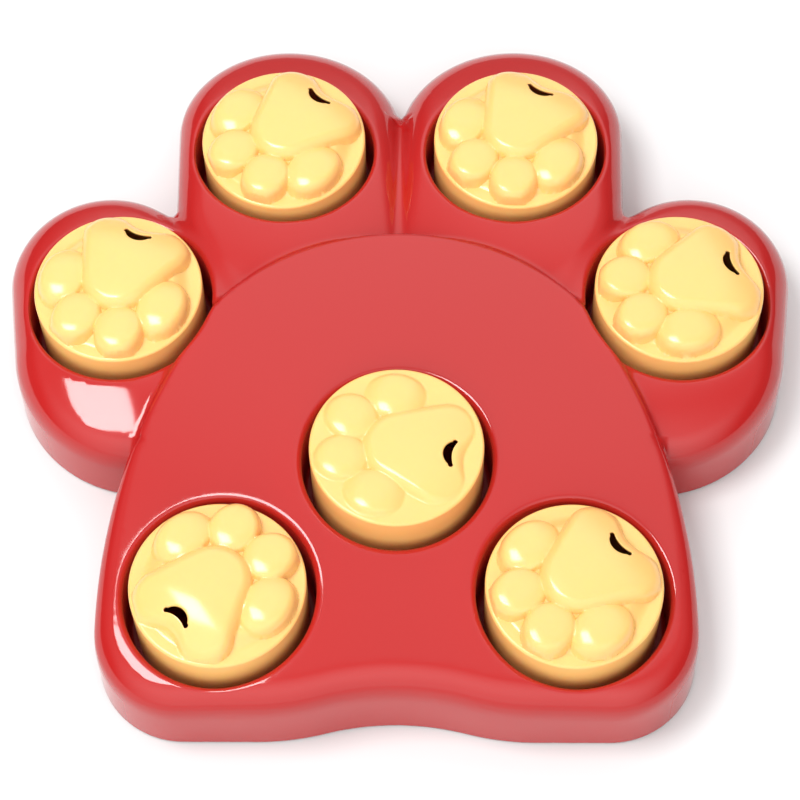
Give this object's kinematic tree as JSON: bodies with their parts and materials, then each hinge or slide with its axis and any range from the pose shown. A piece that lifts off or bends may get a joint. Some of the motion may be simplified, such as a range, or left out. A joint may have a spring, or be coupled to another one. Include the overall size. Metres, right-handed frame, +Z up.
{
  "type": "dog puzzle feeder toy",
  "caption": "Paw-shaped moulded puzzle feeder with round treat wells, lift-off lids with a raised paw print, and rubber feet.",
  "frame": {"origin": "on the floor, at the middle of the toy's bounding box in plan", "axes": "+Z up, +Y from the palm towards the toes, +X to the right seen from above with the toes away"},
  "size_m": [0.2856, 0.2761, 0.0533],
  "materials": {
    "base_red": "gloss",
    "lid_yellow": "gloss",
    "foot_rubber": "matt"
  },
  "bodies": {
    "base": {"base_shell": "base_red", "foot_toe_outer_left": "foot_rubber", "foot_toe_inner_left": "foot_rubber", "foot_toe_inner_right": "foot_rubber", "foot_toe_outer_right": "foot_rubber", "foot_palm_left": "foot_rubber", "foot_palm_right": "foot_rubber"},
    "toe_lid_outer_left": {"toe_lid_outer_left": "lid_yellow"},
    "toe_lid_inner_left": {"toe_lid_inner_left": "lid_yellow"},
    "toe_lid_inner_right": {"toe_lid_inner_right": "lid_yellow"},
    "toe_lid_outer_right": {"toe_lid_outer_right": "lid_yellow"},
    "palm_lid_centre": {"palm_lid_centre": "lid_yellow"},
    "palm_lid_left": {"palm_lid_left": "lid_yellow"},
    "palm_lid_right": {"palm_lid_right": "lid_yellow"}
  },
  "joints": [
    {"name": "toe_lid_outer_left_lift", "type": "slide", "parent": "base", "child": "toe_lid_outer_left", "axis": [0, 0, 1], "range_m": [0, 0.06]},
    {"name": "toe_lid_inner_left_lift", "type": "slide", "parent": "base", "child": "toe_lid_inner_left", "axis": [0, 0, 1], "range_m": [0, 0.06]},
    {"name": "toe_lid_inner_right_lift", "type": "slide", "parent": "base", "child": "toe_lid_inner_right", "axis": [0, 0, 1], "range_m": [0, 0.06]},
    {"name": "toe_lid_outer_right_lift", "type": "slide", "parent": "base", "child": "toe_lid_outer_right", "axis": [0, 0, 1], "range_m": [0, 0.06]},
    {"name": "palm_lid_centre_lift", "type": "slide", "parent": "base", "child": "palm_lid_centre", "axis": [0, 0, 1], "range_m": [0, 0.06]},
    {"name": "palm_lid_left_lift", "type": "slide", "parent": "base", "child": "palm_lid_left", "axis": [0, 0, 1], "range_m": [0, 0.06]},
    {"name": "palm_lid_right_lift", "type": "slide", "parent": "base", "child": "palm_lid_right", "axis": [0, 0, 1], "range_m": [0, 0.06]}
  ]
}
